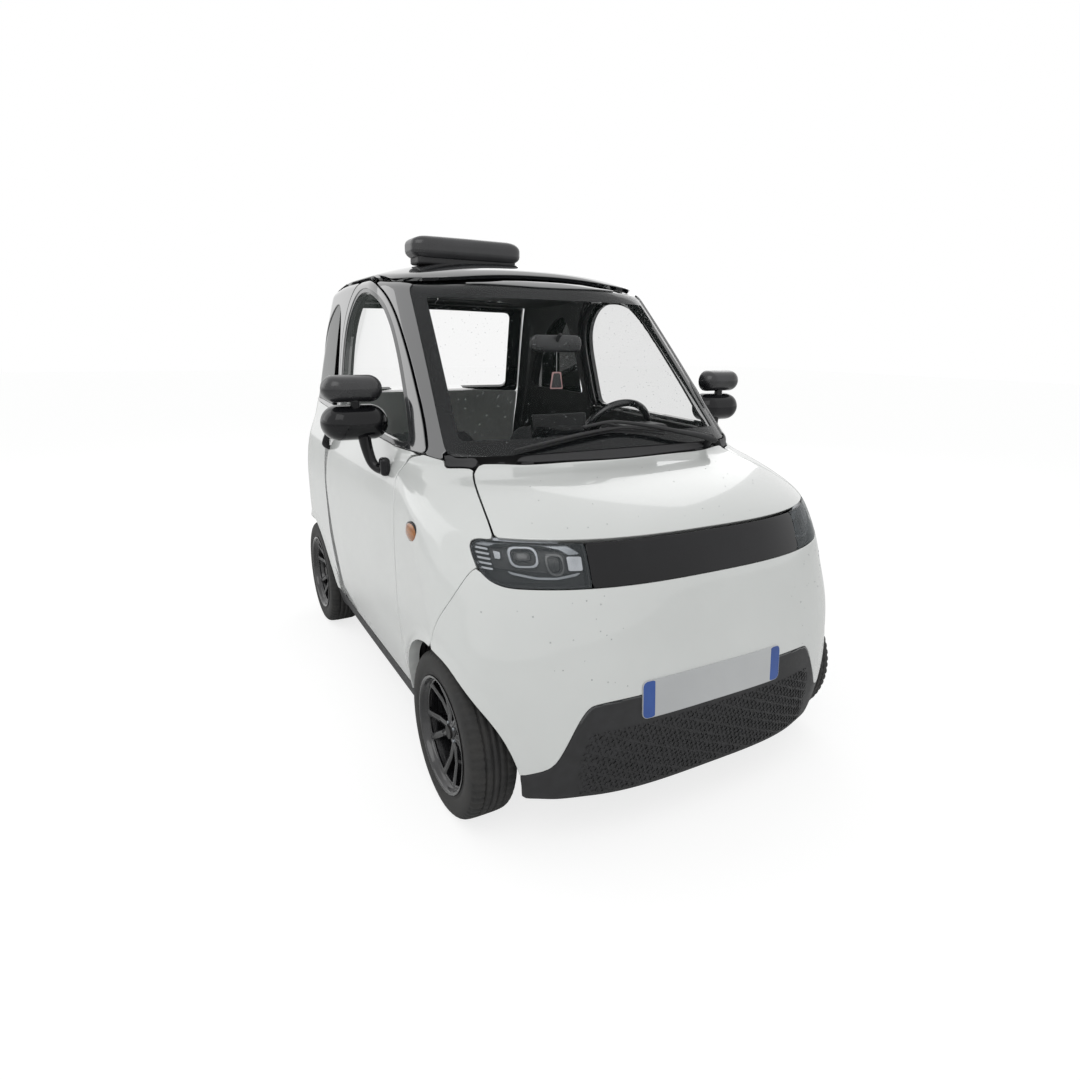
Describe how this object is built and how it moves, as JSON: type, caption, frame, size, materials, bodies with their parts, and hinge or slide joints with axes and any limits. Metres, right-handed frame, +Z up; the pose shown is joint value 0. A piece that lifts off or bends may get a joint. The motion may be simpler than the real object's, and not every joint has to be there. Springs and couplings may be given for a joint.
{
  "type": "electric microcar",
  "caption": "Short one-box two-door electric city car with opening doors, bonnet and tailgate, steered front wheels and a box sign on its roof.",
  "frame": {"origin": "on the floor under the middle of the bounding box", "axes": "+X forward, +Y to the car's left, +Z up"},
  "size_m": [2.4459, 1.738, 1.756],
  "materials": {
    "white_paint": "gloss",
    "gloss_black": "gloss",
    "black_plastic": "matt",
    "shell": "satin",
    "chassis_steel": "matt",
    "wheel_alloy": "satin black",
    "tyre": "matt",
    "glass": "tinted",
    "lamp_clear": "clear lens over grey",
    "lamp_red": "gloss",
    "seat_fabric": "woven",
    "battery_case": "satin"
  },
  "bodies": {
    "chassis": {"cabin_frame": "shell", "pillar_frame": "gloss_black", "roof_panel": "gloss_black", "windscreen": "glass", "cowl_panel": "gloss_black", "wiper": "black_plastic", "light_band": "gloss_black", "headlamp_left": "lamp_clear", "headlamp_right": "lamp_clear", "front_bumper": "white_paint", "lower_grille": "black_plastic", "front_fender_left": "white_paint", "front_fender_right": "white_paint", "quarter_panel_left": "white_paint", "quarter_panel_right": "white_paint", "quarter_glasses": "glass", "rear_bumper": "white_paint", "tail_lamps": "lamp_red", "sills": "black_plastic", "roof_sign": "gloss_black", "floor_pan": "shell", "wheel_housings": "black_plastic", "dashboard": "black_plastic", "seats": "seat_fabric", "battery_pack": "battery_case", "front_subframe": "chassis_steel", "rear_axle": "chassis_steel"},
    "door_left_body": {"door_left": "white_paint", "door_glass_left": "glass", "mirror_left": "gloss_black"},
    "door_right_body": {"door_right": "white_paint", "door_glass_right": "glass", "mirror_right": "gloss_black"},
    "bonnet_body": {"bonnet": "white_paint"},
    "tailgate_body": {"tailgate": "white_paint", "tailgate_glass": "glass"},
    "steering_body": {"steering_wheel": "black_plastic"},
    "knuckle_left_body": {"knuckle_left": "chassis_steel"},
    "knuckle_right_body": {"knuckle_right": "chassis_steel"},
    "wheel_front_left_body": {"wheel_front_left": "wheel_alloy", "tyre_front_left": "tyre"},
    "wheel_front_right_body": {"wheel_front_right": "wheel_alloy", "tyre_front_right": "tyre"},
    "wheel_rear_left_body": {"wheel_rear_left": "wheel_alloy", "tyre_rear_left": "tyre"},
    "wheel_rear_right_body": {"wheel_rear_right": "wheel_alloy", "tyre_rear_right": "tyre"}
  },
  "joints": [
    {"name": "door_left_hinge", "type": "hinge", "parent": "chassis", "child": "door_left_body", "pos_m": [0.538, 0.727, 0.55], "axis": [0, 0.0523, -0.9986], "range_deg": [0, 65]},
    {"name": "door_right_hinge", "type": "hinge", "parent": "chassis", "child": "door_right_body", "pos_m": [0.538, -0.727, 0.55], "axis": [0, 0.0523, 0.9986], "range_deg": [0, 65]},
    {"name": "bonnet_hinge", "type": "hinge", "parent": "chassis", "child": "bonnet_body", "pos_m": [0.72, 0, 1.3], "axis": [0, -1, 0], "range_deg": [0, 55]},
    {"name": "tailgate_hinge", "type": "hinge", "parent": "chassis", "child": "tailgate_body", "pos_m": [-1.018, 0, 1.598], "axis": [0, 1, 0], "range_deg": [0, 80]},
    {"name": "steering", "type": "hinge", "parent": "chassis", "child": "steering_body", "pos_m": [0.173, 0.34, 1], "axis": [-0.8829, 0, 0.4695], "range_deg": [-360, 360]},
    {"name": "kingpin_left", "type": "hinge", "parent": "chassis", "child": "knuckle_left_body", "pos_m": [0.825, 0.585, 0.252], "axis": [0, 0, 1], "range_deg": [-30, 30]},
    {"name": "kingpin_right", "type": "hinge", "parent": "chassis", "child": "knuckle_right_body", "pos_m": [0.825, -0.585, 0.252], "axis": [0, 0, 1], "range_deg": [-30, 30]},
    {"name": "wheel_front_left_spin", "type": "hinge", "parent": "knuckle_left_body", "child": "wheel_front_left_body", "pos_m": [0.825, 0.632, 0.252], "axis": [0, 1, 0], "continuous": true},
    {"name": "wheel_front_right_spin", "type": "hinge", "parent": "knuckle_right_body", "child": "wheel_front_right_body", "pos_m": [0.825, -0.632, 0.252], "axis": [0, 1, 0], "continuous": true},
    {"name": "wheel_rear_left_spin", "type": "hinge", "parent": "chassis", "child": "wheel_rear_left_body", "pos_m": [-0.835, 0.632, 0.252], "axis": [0, 1, 0], "continuous": true},
    {"name": "wheel_rear_right_spin", "type": "hinge", "parent": "chassis", "child": "wheel_rear_right_body", "pos_m": [-0.835, -0.632, 0.252], "axis": [0, 1, 0], "continuous": true}
  ],
  "couplings": [
    {"joint": "kingpin_left", "follows": "steering", "ratio": 0.083333},
    {"joint": "kingpin_right", "follows": "steering", "ratio": 0.083333}
  ]
}
